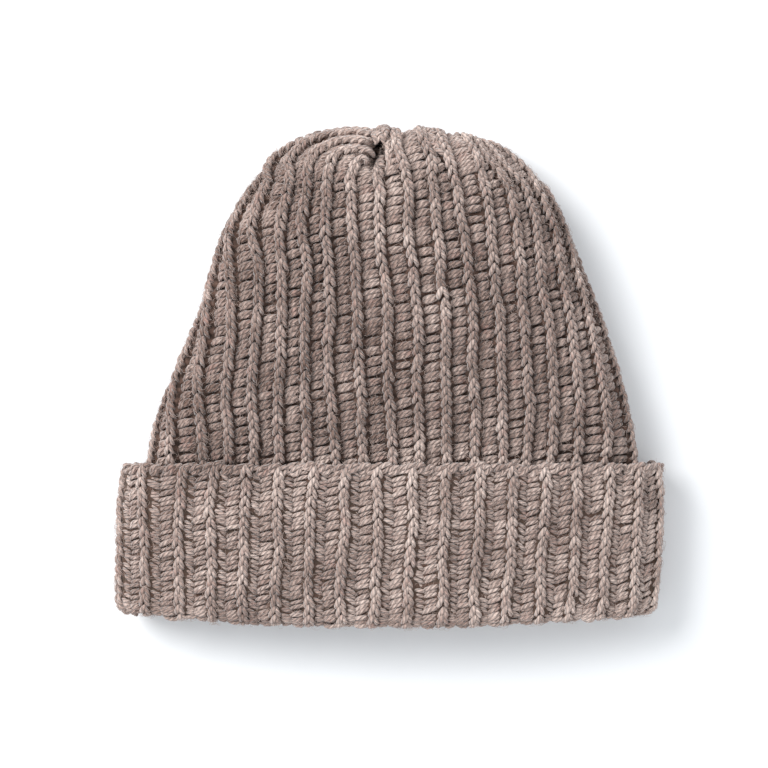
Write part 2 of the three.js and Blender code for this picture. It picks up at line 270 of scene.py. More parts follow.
class BeanieColours(bpy.types.PropertyGroup):
    """Colours of the heathered yarn and the floor"""

    taupe: bpy.props.FloatVectorProperty(
        name="Taupe", description="Main colour of the yarn", default=linear("#AB948A"), **COLOUR
    )
    pale: bpy.props.FloatVectorProperty(
        name="Pale fibres", description="Lightest fibres", default=linear("#DFCABF"), **COLOUR
    )
    dark: bpy.props.FloatVectorProperty(
        name="Dark fibres", description="Darkest fibres", default=linear("#685147"), **COLOUR
    )
    rose: bpy.props.FloatVectorProperty(
        name="Rose fibres", description="Pinkish fibres", default=linear("#B08B80"), **COLOUR
    )
    # Painted shade: the dark colour given to the wool deep between the stitches
    shade: bpy.props.FloatVectorProperty(
        name="Shade", description="The wool deep between stitches", default=linear("#382C26"), **COLOUR
    )
    # Painted shade for the wool between the cuff's stitches, lighter than the crown's as more light reaches
    # between them
    cuff_painted_light_and_shade: bpy.props.FloatVectorProperty(
        name="Cuff shade",
        description="The same wool on the cuff, where the stitches lie more open",
        default=linear("#54463D"),
        **COLOUR,
    )
    floor: bpy.props.FloatVectorProperty(
        name="Floor", description="The surface under the hat", default=linear("#F7F8F9"), **COLOUR
    )


# Fabric faces: the CAD model's sections, measured finely


def at_rib(ribs, pairs):
    """What pairs of rib and value give at the given ribs, round the hat."""
    return np.interp(ribs, *zip(*pairs), period=RIB_COUNT)


def girdle(front, back):
    return back + GIRDLE_SHARE * (front - back)


def smooth_table(table, count):
    """Rows of a table as a smooth curve through them, evenly spaced along it."""
    steps = np.linalg.norm(np.diff(table[:, :5], axis=0), axis=1)
    at = np.concatenate([[0], np.cumsum(steps)])
    slope = np.diff(table, axis=0) / steps[:, None]
    weight = (steps[1:] / (steps[1:] + steps[:-1]))[:, None]
    tangent = np.vstack([slope[:1], weight * slope[:-1] + (1 - weight) * slope[1:], slope[-1:]])
    wanted = np.linspace(0, at[-1], count)
    i = np.clip(np.searchsorted(at, wanted) - 1, 0, len(steps) - 1)
    f = ((wanted - at[i]) / steps[i])[:, None]
    h = steps[i][:, None]
    return hermite(f, table[i], h * tangent[i], table[i + 1], h * tangent[i + 1])


def hermite(f, start, start_way, end, end_way):
    return (
        (2 * f**3 - 3 * f**2 + 1) * start
        + (f**3 - 2 * f**2 + f) * start_way
        + (3 * f**2 - 2 * f**3) * end
        + (f**3 - f**2) * end_way
    )


def outlines(front, back, half_width, shift, radius, floor):
    """Closed outlines of sections, one row each: two flattened halves with round sides, flat below."""
    place = np.linspace(0, 4, 4 * POINTS_PER_QUARTER + 1)
    quarter = np.minimum(np.floor(place), 3)
    part = place - quarter
    crowded = np.where(quarter % 2 == 0, part**SIDE_CROWDING, 1 - (1 - part) ** SIDE_CROWDING)
    angle = (math.pi / 2) * (quarter + crowded)
    middle = girdle(front, back)
    front_reach = np.linalg.norm(front - middle, axis=1)
    back_reach = np.linalg.norm(back - middle, axis=1)
    up_way = (front - back) / np.linalg.norm(front - back, axis=1)[:, None]
    least = np.minimum(half_width, np.minimum(front_reach, back_reach))
    round_off = np.minimum(radius, MOST_ROUND * least)[:, None]
    across = half_width[:, None] - round_off
    reach = np.where(quarter < 2, front_reach[:, None], back_reach[:, None])
    up = reach - round_off
    normal_x = up * np.cos(angle)
    normal_up = across * np.sin(angle)
    size = np.hypot(normal_x, normal_up)
    x = shift[:, None] + across * np.cos(angle) + round_off * normal_x / size
    rise = up * np.sin(angle) + round_off * normal_up / size
    y = middle[:, :1] + rise * up_way[:, :1]
    z = np.maximum(middle[:, 1:] + rise * up_way[:, 1:], floor[:, None])
    return np.stack([x, y, z], axis=2)


def rib_scale(points, right, left):
    """The rib that each outline point belongs to, for each row."""
    steps = np.linalg.norm(np.diff(points, axis=1), axis=2)
    lengths = np.concatenate([np.zeros((len(points), 1)), np.cumsum(steps, axis=1)], axis=1)
    half = 2 * POINTS_PER_QUARTER
    front_length = lengths[:, half : half + 1]
    back_length = lengths[:, -1:] - front_length
    on_front = np.arange(points.shape[1]) <= half
    on_back = 0.5 + (lengths - front_length) / back_length / 2
    share = np.where(on_front, lengths / front_length / 2, on_back)
    unevenness = (math.pi * (0.5 - (left - right) / RIB_COUNT))[:, None]
    waned = unevenness / (2 * math.pi) * (1 - np.cos(2 * math.pi * share))
    return right[:, None] + RIB_COUNT * (share - waned)


def settle(points):
    """Adds the fold's bulge and centres the hat, as the CAD model does."""
    at_fold = np.maximum(0, 1 - points[..., 1] / CUFF_DEPTH)
    side = (points[..., 0] / (CUFF_WIDTH / 2)) ** 2
    settled = points.copy()
    settled[..., 1] += FOLD_BULGE * side * at_fold - HAT_LENGTH / 2
    return settled


def by_ribs(outline, scale):
    """Points of outlines at even steps of the rib scale."""
    columns = np.arange(RIB_COUNT * COLUMNS_PER_RIB) / COLUMNS_PER_RIB
    points = np.empty((len(outline), len(columns), 3))
    for row, (line, ribs) in enumerate(zip(outline, scale)):
        wanted = ribs[0] + (columns - ribs[0]) % RIB_COUNT
        for axis in range(3):
            points[row, :, axis] = np.interp(wanted, ribs, line[:, axis])
    return settle(points)


class FabricFace:
    """One face of the fabric as a grid, rows along the ribs and columns round the hat, in millimetres."""

    def __init__(self, points, lean, seed, swell):
        self.points = points
        self.swell = swell
        along = np.gradient(points, axis=0)
        round_way = (np.roll(points, -1, axis=1) - np.roll(points, 1, axis=1)) / 2
        normals = np.cross(along, round_way)
        self.normals = normals / np.maximum(np.linalg.norm(normals, axis=2), 1e-9)[..., None]
        steps = np.linalg.norm(np.diff(points, axis=0), axis=2)
        self.lengths = np.concatenate([np.zeros((1, steps.shape[1])), np.cumsum(steps, axis=0)])
        self.pitch = np.linalg.norm(round_way, axis=2) * COLUMNS_PER_RIB
        self.drift = self.rib_drift(lean, seed)

    def rib_drift(self, lean, seed):
        """How far each rib stands from its even place, row by row: its lean and a slight waver."""
        heights = [row[0] for row in lean]
        rng = np.random.default_rng(seed)
        table = np.zeros((len(self.points), RIB_COUNT))
        for rib in range(RIB_COUNT):
            column = rib * COLUMNS_PER_RIB
            values = [at_rib(rib, pairs) for _, *pairs in lean]
            table[:, rib] = np.interp(self.points[:, column, 1], heights, values)
            way = self.lengths[:, column]
            for wave, size in WAVERS:
                table[:, rib] += size * np.sin(2 * math.pi * (way / wave + rng.uniform()))
        return table

    def row_at(self, ribs, lengths):
        """The rows that lie at the given lengths along the ribs. Past the end they go straight on."""
        rows = np.empty(lengths.shape)
        columns = np.rint(ribs * COLUMNS_PER_RIB).astype(int) % self.lengths.shape[1]
        for column in np.unique(columns):
            chosen = columns == column
            way = self.lengths[:, column]
            wanted = lengths[chosen]
            rows[chosen] = np.interp(wanted, way, np.arange(len(way)))
            rows[chosen] += np.maximum(0, wanted - way[-1]) / max(way[-1] - way[-2], 1e-3)
            rows[chosen] -= np.maximum(0, way[0] - wanted) / max(way[1] - way[0], 1e-3)
        return rows

    def stand(self, ribs, rows):
        """Where the ribs stand on the rib scale, with their drift."""
        whole = np.floor(ribs).astype(int)
        part = ribs - whole
        r = np.clip(rows, 0, len(self.points) - 1.001)
        r0 = r.astype(int)
        fr = r - r0

        def drift_of(rib):
            return self.drift[r0, rib % RIB_COUNT] * (1 - fr) + self.drift[r0 + 1, rib % RIB_COUNT] * fr

        return ribs + (1 - part) * drift_of(whole) + part * drift_of(whole + 1)

    def blend(self, grid, rows, ribs):
        column = ribs % RIB_COUNT * COLUMNS_PER_RIB
        r0 = np.clip(np.floor(rows).astype(int), 0, len(grid) - 2)
        c0 = np.floor(column).astype(int)
        fr = rows - r0
        fc = column - c0
        c0 = c0 % grid.shape[1]
        c1 = (c0 + 1) % grid.shape[1]
        if grid.ndim == 3:
            fr = fr[..., None]
            fc = fc[..., None]
        low = grid[r0, c0] * (1 - fc) + grid[r0, c1] * fc
        high = grid[r0 + 1, c0] * (1 - fc) + grid[r0 + 1, c1] * fc
        return low * (1 - fr) + high * fr

    def at(self, rows, ribs, depth):
        """Points that lie a depth under the face."""
        inwards = -self.blend(self.normals, rows, ribs)
        return self.blend(self.points, rows, ribs) + np.asarray(depth)[..., None] * inwards


def crown_table():
    """The crown's sections in millimetres, from the end inside the cuff to the gather."""
    tuck = FABRIC_THICKNESS + LAYER_GAP
    half = CUFF_WIDTH / 2
    lip_across = 2 * LIP_DEPTH / CUFF_DEPTH - 1
    length = HAT_LENGTH - CUFF_DEPTH
    rows = []
    for reach, half_width, right, left in (
        (LIP_DEPTH, half - CUFF_TAPER * lip_across**2 - tuck, CUFF_RIBS[0] + 0.5, CUFF_RIBS[1] + 0.5),
        (CUFF_DEPTH, half - CROWN_SET_IN, 0.0, 18.0),
    ):
        shift = CUFF_LEAN * (reach / CUFF_DEPTH - 0.5)
        front = CUFF_HEIGHT - tuck
        back = tuck - PRESSED_DEPTH
        radius = CUFF_SIDE_RADIUS - tuck
        rows.append((reach, front, reach, back, half_width, shift, radius, tuck, right, left))
    for values in CROWN_SECTIONS:
        row = dict(zip(CROWN_COLUMNS, values))
        rest = row["rest"] * tuck
        rows.append(
            (
                CUFF_DEPTH + row["front"] * length,
                row["front_height"] * CROWN_HEIGHT,
                CUFF_DEPTH + row["back"] * length,
                rest + row["back_height"] * CROWN_HEIGHT - PRESSED_DEPTH,
                row["width"] * (half - CROWN_SET_IN),
                row["shift"] * CROWN_SHIFT,
                CROWN_SIDE_RADIUS,
                rest,
                row["right"],
                row["left"],
            )
        )
    return np.array(rows, float)


def rounded(values, width):
    """Running mean of values round the hat."""
    padded = np.concatenate([values[-width:], values, values[:width]])
    return np.convolve(padded, np.ones(2 * width + 1) / (2 * width + 1), "valid")


def close_top(points, reach):
    """Goes on from the sections along the gather's paths, which shut the top."""
    columns = np.arange(points.shape[1]) / COLUMNS_PER_RIB
    order = np.arange(points.shape[1])
    ribs, leave, *places = zip(*GATHER_PATHS)
    stands = [rib + at_rib(rib, CROWN_RIB_LEAN[-1][1:]) for rib in ribs]

    def between(values):
        return rounded(np.interp(columns, stands, values, period=RIB_COUNT), BLEND_COLUMNS)

    leaving = CUFF_DEPTH + between(leave) * (HAT_LENGTH - CUFF_DEPTH)
    cut = np.interp(leaving, reach, np.arange(len(points)))
    whole = cut.astype(int)
    after = np.minimum(whole + 1, len(points) - 1)
    part = (cut - whole)[:, None]
    start = points[whole, order] * (1 - part) + points[after, order] * part
    way = start - points[whole - TANGENT_ROWS, order]
    way = way / np.linalg.norm(way, axis=1)[:, None]
    knots = [np.stack([between(values) for values in zip(*place)], axis=1) for place in places]
    knots = np.stack([start, *knots])
    steps = np.linalg.norm(np.diff(knots, axis=0), axis=2)
    at = np.concatenate([np.zeros((1, len(order))), np.cumsum(steps, axis=0)])
    slope = np.diff(knots, axis=0) / steps[..., None]
    weight = (steps[1:] / (steps[1:] + steps[:-1]))[..., None]
    tangent = np.concatenate([way[None], weight * slope[:-1] + (1 - weight) * slope[1:], slope[-1:]])
    total = len(points) + CLOSING_ROWS
    rows = np.arange(total)[:, None]
    wanted = np.clip((rows - cut) / (total - 1 - cut), 0, 1) * at[-1]
    leg = (wanted[None] >= at[1:-1, None]).sum(axis=0)
    size = steps[leg, order][..., None]
    f = ((wanted - at[leg, order]) / steps[leg, order])[..., None]
    from_way = size * tangent[leg, order]
    to_way = size * tangent[leg + 1, order]
    closing = hermite(f, knots[leg, order], from_way, knots[leg + 1, order], to_way)
    full = np.concatenate([points, np.repeat(points[-1:], CLOSING_ROWS, axis=0)])
    return np.where((rows <= cut)[..., None], full, closing)


def make_crown_face():
    """The crown's face from its end inside the cuff to the inside of the gather."""
    rows = smooth_table(crown_table(), CROWN_ROWS).T
    outline = outlines(rows[0:2].T, rows[2:4].T, rows[4], rows[5], rows[6], rows[7])
    points = close_top(by_ribs(outline, rib_scale(outline, rows[8], rows[9])), rows[0])
    swollen_rows = np.arange(len(points)) - CROWN_ROWS + SWELL_BEFORE
    swell = GATHER_SWELL * np.clip(swollen_rows / SWELL_ROWS, 0, 1)
    return FabricFace(points, CROWN_RIB_LEAN, 3, swell)


def make_cuff_face():
    """The cuff's face from the end of its lip inside the hat, round the fold and up to the free edge."""
    radius = FABRIC_THICKNESS + LAYER_GAP / 2
    bend = math.pi * radius
    inner = LIP_DEPTH - SEAT_GAP - radius
    outer = CUFF_DEPTH - radius
    way = np.linspace(0, inner + bend + outer, CUFF_ROWS)
    angle = np.clip((way - inner) / radius, 0, math.pi)
    in_hat = radius + inner - way
    outside = radius + way - inner - bend
    at_bend = radius * (1 - np.sin(angle))
    reach = np.where(way < inner, in_hat, np.where(way > inner + bend, outside, at_bend))
    inset = radius * (1 + np.cos(angle))

    def outline_at(inset_used):
        across = 2 * reach / CUFF_DEPTH - 1
        front = np.stack([reach, CUFF_HEIGHT - inset_used], axis=1)
        back = np.stack([reach, inset_used - PRESSED_DEPTH], axis=1)
        half_width = CUFF_WIDTH / 2 - CUFF_TAPER * across**2 - inset_used
        shift = CUFF_LEAN * across / 2
        return outlines(front, back, half_width, shift, CUFF_SIDE_RADIUS - inset_used, inset_used)

    right, left = (np.full(CUFF_ROWS, float(rib)) for rib in CUFF_RIBS)
    points = by_ribs(outline_at(inset), rib_scale(outline_at(np.zeros(CUFF_ROWS)), right, left))
    from_fold = (way - inner - bend / 2) / FOLD_SWELL_REACH
    return FabricFace(points, CUFF_RIB_LEAN, 5, FOLD_SWELL * np.exp(-(from_fold**2)))


FACES = {"crown": make_crown_face(), "cuff": make_cuff_face()}

# Meshes


def new_piece(name, points, faces, material, uv=None, tone=None):
    """A mesh piece from points in millimetres and its faces, riding on the frame."""
    mesh = bpy.data.meshes.new(name)
    mesh.from_pydata((points * MM).tolist(), [], faces)
    mesh.polygons.foreach_set("use_smooth", np.ones(len(mesh.polygons), bool))
    if uv is not None:
        layer = mesh.uv_layers.new(name="strand")
        layer.data.foreach_set("uv", uv.astype(np.float32).ravel())
    if tone is not None:
        values = mesh.attributes.new("tone", "FLOAT", "POINT").data
        values.foreach_set("value", tone.astype(np.float32).ravel())
    mesh.materials.append(material)
    piece = bpy.data.objects.new(name, mesh)
    bpy.context.scene.collection.objects.link(piece)
    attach(piece, "root")
    return piece


def tubes(centres, ups, radii, sides, flat):
    """Closed tubes round lines of points: their vertices, walls and end faces."""
    count, points = radii.shape
    along = np.gradient(centres, axis=1)
    along = along / np.linalg.norm(along, axis=2)[..., None]
    side = np.cross(along, ups)
    side = side / np.maximum(np.linalg.norm(side, axis=2), 1e-6)[..., None]
    up = np.cross(side, along)
    turn = 2 * np.pi * np.arange(sides) / sides
    ring = side[:, :, None] * np.cos(turn)[:, None] + flat * up[:, :, None] * np.sin(turn)[:, None]
    vertices = (centres[:, :, None] + radii[..., None, None] * ring).reshape(-1, 3)
    index = np.arange(count * points * sides).reshape(count, points, sides)
    after = np.roll(index, -1, axis=2)
    walls = np.stack([index[:, :-1], after[:, :-1], after[:, 1:], index[:, 1:]], axis=3)
    first, last = index[:, 0], index[:, -1]
    # A hexagon's end is two quads, and a triangle's is one face
    if sides == 6:
        ends = [first[:, [0, 3, 2, 1]], first[:, [0, 5, 4, 3]], last[:, [0, 1, 2, 3]], last[:, [0, 3, 4, 5]]]
    else:
        ends = [first[:, ::-1], last]
    return vertices, walls.reshape(-1, 4), np.concatenate(ends)


TWIST_START = 60  # mm of yarn, within which each strand's twist and fibres start anywhere


def strand_mesh(name, groups, material, sides=6, flat=0.92):
    """Strands of yarn as closed tubes. Each group: the strands' centres, upward ways, radii and tones."""
    rng = np.random.default_rng(len(name))
    turns = np.arange(sides) / sides
    all_vertices, faces, uv, tones = [], [], [], []
    placed = 0
    for centres, ups, radii, tone in groups:
        count, points = radii.shape
        vertices, walls, ends = tubes(centres, ups, radii, sides, flat)
        steps = np.linalg.norm(np.diff(centres, axis=1), axis=2)
        way = np.concatenate([np.zeros((count, 1)), np.cumsum(steps, axis=1)], axis=1)
        way = way + rng.uniform(0, TWIST_START, (count, 1))
        corners = np.empty((count, points - 1, sides, 4, 2))
        corners[..., :2, 0] = way[:, :-1, None, None]
        corners[..., 2:, 0] = way[:, 1:, None, None]
        corners[..., (0, 3), 1] = turns[:, None]
        corners[..., (1, 2), 1] = turns[:, None] + 1 / sides
        all_vertices.append(vertices)
        faces += (walls + placed).tolist() + (ends + placed).tolist()
        uv += [corners.reshape(-1, 2), np.zeros((ends.size, 2))]
        tones.append(np.repeat(tone, points * sides))
        placed += len(vertices)
    vertices, uv, tones = (np.concatenate(values) for values in (all_vertices, uv, tones))
    return new_piece(name, vertices, faces, material, uv, tones)


def grid_quads(rows, columns, closed_rows):
    """Faces of a grid of points whose columns run round the hat. closed_rows: its rows close up too."""
    index = np.arange(rows * columns).reshape(rows, columns)
    after = np.roll(index, -1, axis=1)
    if closed_rows:
        above, above_after = np.roll(index, -1, axis=0), np.roll(after, -1, axis=0)
        below, below_after = index, after
    else:
        above, above_after = index[1:], after[1:]
        below, below_after = index[:-1], after[:-1]
    return np.stack([below, above, above_after, below_after], axis=2).reshape(-1, 4)


# Painted light and shade in the yarn's colour at some ribs: paler above 0, darker below. The crown's is
# painted shade, darker towards its sides and most on its left; the cuff's is painted light, a little darker
# on its left.
CROWN_PAINTED_SHADE = ((0, -0.2), (4, -0.12), (8, -0.08), (11, -0.38), (18, -0.5), (27, -0.2))
# Painted light at the gather, in place of the crown's painted shade
GATHER_PAINTED_LIGHT = 0.3  # in place of it, at the gather
GATHER_PAINTED_LIGHT_REACH = (15, 40)  # mm from the ribs' ends where that is full, and over which it fades
# Painted light next to the cuff's edge, lifting the crown out of the shade there
NEAR_CUFF_PAINTED_LIGHT = 0.58  # added next to the cuff's edge
NEAR_CUFF_REACH = 12  # mm over which that fades
# Painted light on the cuff: paler than the crown, with a little painted shade on its left
CUFF_PAINTED_LIGHT_AND_SHADE = ((0, 0.38), (9, 0.27), (16, -0.04), (27, 0.15))

# Stitches. Each row of a path: how far right of the ridge's middle, how far towards the gather and how
# deep under the ridges' tops, all in mm, and the share of the yarn's thickness. In a valley the first
# number is instead the share of the way from one ridge to the next one on its right.
RIDGE_LEGS = (
    (
        (0.3, 2.75, 1.8, 0.5),
        (0.0, 1.9, 0.6, 0.95),
        (-0.6, 0.65, 0.32, 1.02),
        (-1.15, -0.65, 0.45, 1.02),
        (-1.5, -1.95, 1.1, 0.92),
        (-1.55, -2.95, 2.7, 0.5),
    ),
    (
        (0.15, 2.3, 2.2, 0.5),
        (0.58, 1.25, 0.9, 0.85),
        (1.02, 0.0, 0.65, 0.94),
        (1.4, -1.25, 0.95, 0.94),
        (1.55, -2.6, 2.6, 0.55),
    ),
)
EDGE_LOOPS = (
    (
        (-2.5, -0.6, 2.5, 0.5),
        (-1.2, 0.3, 1.3, 0.9),
        (0.3, 1, 1, 0.95),
        (1.7, 0.8, 1.3, 0.9),
        (2.8, 0, 2.4, 0.5),
    ),
    (
        (-2.5, -0.7, 2.7, 0.5),
        (-1.1, -1.5, 1.6, 0.9),
        (0.4, -1.5, 1.3, 1),
        (1.7, -0.5, 1.5, 0.9),
        (2.6, 0.3, 2.5, 0.5),
    ),
    (
        (-2.3, 0.3, 3.8, 0.5),
        (-0.9, 0.75, 2.5, 1),
        (0.8, 0.7, 2.4, 1.1),
        (2.4, 0.2, 3.6, 0.5),
    ),
)
CROWN_BEAD = (
    (
        (-0.04, -1.0, 5.2, 0.7),
        (0.15, 0.1, 3.9, 0.98),
        (0.5, 1.0, 2.75, 1.1),
        (0.84, 1.3, 3.2, 0.98),
        (1.02, 0.9, 4.6, 0.65),
    ),
    (
        (-0.03, -1.8, 5.3, 0.7),
        (0.15, -1.4, 4.1, 0.94),
        (0.48, -0.6, 2.95, 1.08),
        (0.82, 0.2, 3.35, 0.96),
        (1.02, 0.6, 4.7, 0.65),
    ),
)
CUFF_VALLEY_LEFT = (
    (0.0, 1.3, 2.7, 0.6),
    (0.14, 0.65, 2.7, 0.95),
    (0.31, -0.35, 3.1, 1.0),
    (0.46, -1.2, 4.0, 0.55),
)
CUFF_VALLEY_RIGHT = (
    (0.36, -1.1, 3.9, 0.6),
    (0.5, -0.5, 2.8, 1.0),
    (0.68, 0.1, 2.2, 1.08),
    (0.87, 0.55, 2.2, 1.0),
    (1.0, 0.8, 3.1, 0.6),
)
RIDGE_EDGES = (2.2, 1.9)  # where a valley starts right of its ridge and ends left of the next one, in mm
STAGGER = 0.37  # how far the stitches of neighbouring ribs are shifted, in stitches
LEAST_PITCH = 0.4  # mm between ribs, below which an offset isn't drawn together any further
FLOOR_CLEARANCE = 0.9  # height of a strand's middle over the surface below, in its radii

# Ridges get no chain where they stand closer than this, and a narrower one where they have less than the full
# room, all in mm. They lie a little deeper where the fabric swells.
LEAST_RIDGE_ROOM = 1.3
FULL_RIDGE_ROOM = 5.2
RIDGE_SWELL = -0.3
LEAST_VALLEY_WIDTH = 2.6

# How the thickness of a strand runs along it, as shares of the yarn's
LOOP_TAPER = (0.5, 0.85, 1.0, 1.05, 1.05, 1.05, 1.0, 0.85, 0.5)
SEAM_TAPER = (0.55, 0.85, 1.0, 1.0, 1.0, 0.85, 0.55)
END_TAPER = (0.55, 0.85, 1.0, 1.0, 0.85, 0.55)


def yarn_radius(sizes):
    """Half the yarn's thickness in millimetres."""
    return sizes.yarn / MM / 2


def tapered(sizes, taper, count):
    return yarn_radius(sizes) * np.array([taper]).repeat(count, axis=0)


def stitch_starts(face, first, spacing, margin, from_end=False):
    """The rib and the length along it of each stitch of each rib, counted from its start or from its end."""
    starts = []
    for rib in range(RIB_COUNT):
        end = face.lengths[-1, rib * COLUMNS_PER_RIB] - margin
        stitches = np.arange(first + STAGGER * spacing * (rib % 3), end, spacing)
        if from_end:
            stitches = np.arange(end, first, -spacing)
        starts.append(np.stack([np.full(len(stitches), float(rib)), stitches], axis=1))
    return np.concatenate(starts)


def strands_on(face, ribs, lengths, right, along, depth, radius, tone, swollen=0.0):
    """Strands that start from points on ribs, with offsets in mm to the right, along the rib and inwards."""
    wanted = lengths[:, None] + along
    rows = face.row_at(ribs[:, None] + 0 * wanted, wanted)
    stand = face.stand(ribs[:, None] + 0 * rows, rows)
    pitch = np.maximum(face.blend(face.pitch, rows, stand), LEAST_PITCH)
    across = stand - right / pitch
    swell = swollen * np.interp(rows, np.arange(len(face.swell)), face.swell)
    centres = face.at(rows, across, depth - swell)
    centres[..., 2] = np.maximum(centres[..., 2], FLOOR_CLEARANCE * radius)
    return centres, face.blend(face.normals, rows, across), radius, tone


def spacing_right(face, ribs, lengths):
    """Distance in mm from each rib to the next one on its right."""
    rows = face.row_at(ribs, lengths)
    here = face.stand(ribs, rows)
    there = face.stand(ribs - 1, rows)
    return face.blend(face.pitch, rows, (here + there) / 2) * (here - there)


def length_left(face, ribs, lengths):
    """Distance in mm along ribs from the given lengths to their ends."""
    columns = np.rint(ribs * COLUMNS_PER_RIB).astype(int) % face.lengths.shape[1]
    return face.lengths[-1, columns] - lengths


def crown_painted_light_and_shade(ribs, lengths):
    """Painted light and shade in the crown's yarn colour: painted shade towards the sides, most on the left,
    and painted light at the gather and by the cuff.
    """
    face = FACES["crown"]
    full, fading = GATHER_PAINTED_LIGHT_REACH
    below = np.clip((length_left(face, ribs, lengths) - full) / fading, 0, 1)
    near_cuff = np.clip(1.2 - (lengths - visible_from(face)) / NEAR_CUFF_REACH, 0, 1)
    from_ribs = at_rib(ribs, CROWN_PAINTED_SHADE) * below
    return from_ribs + GATHER_PAINTED_LIGHT * (1 - below) + NEAR_CUFF_PAINTED_LIGHT * near_cuff


def cuff_painted_light_and_shade(ribs, lengths):
    """Painted light in the cuff's yarn colour, paler than the crown and a little darker on its left, the same
    all along a rib.
    """
    return at_rib(ribs, CUFF_PAINTED_LIGHT_AND_SHADE)


def ridge_chain(face, starts, sizes, seed, shade):
    """Chain stitches along ridges: for each stitch two legs, pointing to the gather like a roof."""
    ribs, lengths = starts.T
    room = np.minimum(spacing_right(face, ribs, lengths), spacing_right(face, ribs + 1, lengths))
    keep = room > LEAST_RIDGE_ROOM
    ribs, lengths, room = ribs[keep], lengths[keep], room[keep]
    rng = np.random.default_rng(seed)
    whole = rng.normal(0, 1, (len(ribs), 5))
    narrow = np.clip(room / FULL_RIDGE_ROOM, 0.45, 1)[:, None]
    groups = []
    for number, path in enumerate(RIDGE_LEGS):
        path = np.array(path)
        own = rng.normal(0, 1, (len(ribs), 4))
        right = path[:, 0] * narrow * (1 + 0.12 * own[:, :1]) + 0.18 * whole[:, :1]
        along = path[:, 1] * (1 + 0.07 * own[:, 1:2]) + 0.25 * whole[:, 1:2] + 0.14 * own[:, 2:3]
        depth = path[:, 2] + 0.14 * whole[:, 2:3] + 0.1 * own[:, 3:4]
        uneven = 1 + 0.06 * whole[:, 3:4]
        radius = yarn_radius(sizes) * path[:, 3] * uneven * np.clip(narrow, 0.75, 1)
        # Painted shade: the second, right-hand leg is a little darker, on the side away from the light; shade
        # adds the rib's painted light and shade.
        tone = 0.56 - 0.1 * number + shade(ribs, lengths) + 0.16 * whole[:, 4] + 0.1 * own[:, 0]
        groups.append(strands_on(face, ribs, lengths, right, along, depth, radius, tone, RIDGE_SWELL))
    return groups


def valley_strands(
    face, starts, paths, sizes, seed, shade, least_room=5.8, thin=1.0, offset=0.0, loose=1.4
):
    """Slanting strands across the valley to the right of each rib, where the ribs leave enough room.

    thin: their thickness as a share of the path's. offset: mm along the rib. loose: how unevenly they lie.
    """
    ribs, lengths = starts.T
    room = spacing_right(face, ribs, lengths)
    keep = room > least_room
    ribs, lengths, room = ribs[keep], lengths[keep], room[keep]
    rng = np.random.default_rng(seed)
    whole = rng.normal(0, 1, (len(ribs), 5))
    start, end = RIDGE_EDGES
    width = np.maximum(room - start - end, LEAST_VALLEY_WIDTH)[:, None]
    margin = (room[:, None] - width) * start / (start + end)
    groups = []
    for path in paths:
        path = np.array(path)
        own = rng.normal(0, 1, (len(ribs), 5))
        right = margin + width * path[:, 0] + 0.15 * whole[:, :1]
        tilt = 1 + loose * (0.14 * own[:, 1:2] + 0.12 * whole[:, 3:4])
        along = offset + path[:, 1] * tilt + loose * (0.12 * whole[:, 1:2] + 0.09 * own[:, 2:3])
        depth = path[:, 2] + loose * (0.16 * whole[:, 2:3] + 0.13 * own[:, 3:4])
        radius = yarn_radius(sizes) * path[:, 3] * thin * (1 + 0.05 * loose * own[:, 4:5])
        # The rib's painted light and shade is added to the strands' random tone.
        tone = 0.5 + shade(ribs, lengths) + loose * (0.1 * whole[:, 4] + 0.08 * own[:, 0])
        groups.append(strands_on(face, ribs, lengths, right, along, depth, radius, tone, 1.0))
    return groups


def gather_loops(sizes):
    """Strands laid through the gather's own points."""
    groups = []
    rng = np.random.default_rng(27)
    for loop in GATHER_LOOPS:
        centres = smooth_table(np.array(loop), len(LOOP_TAPER))[None]
        ups = np.broadcast_to(np.array([0.0, 0.3, 0.95]), centres.shape)
        groups.append((centres, ups, tapered(sizes, LOOP_TAPER, 1), rng.uniform(0.45, 0.8, 1)))
    return groups


def seam_tangle(sizes):
    """Short strands in all directions over the seam where the last ribs meet."""
    rng = np.random.default_rng(37)
    count = SEAM_STRANDS
    path = smooth_table(np.array(GATHER_SEAM), count)
    along = np.gradient(path, axis=0)
    along = along / np.linalg.norm(along, axis=1)[:, None]
    outward = np.cross([1.0, 0.0, 0.0], along)
    across = np.cross(along, outward)
    angle = rng.uniform(0, math.pi, (count, 1))
    way = np.cos(angle) * along + np.sin(angle) * across
    points = len(SEAM_TAPER)
    step = np.linspace(-1, 1, points)[:, None]
    size = rng.uniform(1.8, 3.6, (count, 1, 1))
    rise = 0.2 + rng.normal(0, 0.4, (count, 1, 1)) - 1.5 * step**2
    centres = (path + rng.normal(0, 1.1, (count, 1)) * across)[:, None] + size * step * way[:, None]
    centres = centres + rise * outward[:, None]
    ups = np.repeat(outward[:, None], points, axis=1)
    return [(centres, ups, tapered(sizes, SEAM_TAPER, count), rng.uniform(0.3, 0.8, count))]


def end_tangle(face, sizes):
    """Short strands over the ends of ribs, where these run together or part too narrowly for a valley."""
    rng = np.random.default_rng(33)
    ribs, lengths = [], []
    for first, last, reach, count in END_TANGLES:
        ribs.append(rng.uniform(first, last, count))
        lengths.append(length_left(face, ribs[-1], 0) - rng.uniform(0.5, reach, count))
    ribs, lengths = np.concatenate(ribs), np.concatenate(lengths)
    count = len(ribs)
    step = np.linspace(-1, 1, len(END_TAPER))
    angle = rng.uniform(0, math.pi, (count, 1))
    size = rng.uniform(2.0, 3.2, (count, 1))
    depth = 1.0 + rng.normal(0, 0.2, (count, 1)) + 1.6 * step**2
    radius = tapered(sizes, END_TAPER, count)
    tone = rng.uniform(0.3, 0.8, count)
    right, along = size * step * np.cos(angle), size * step * np.sin(angle)
    return [strands_on(face, ribs, lengths, right, along, depth, radius, tone)]


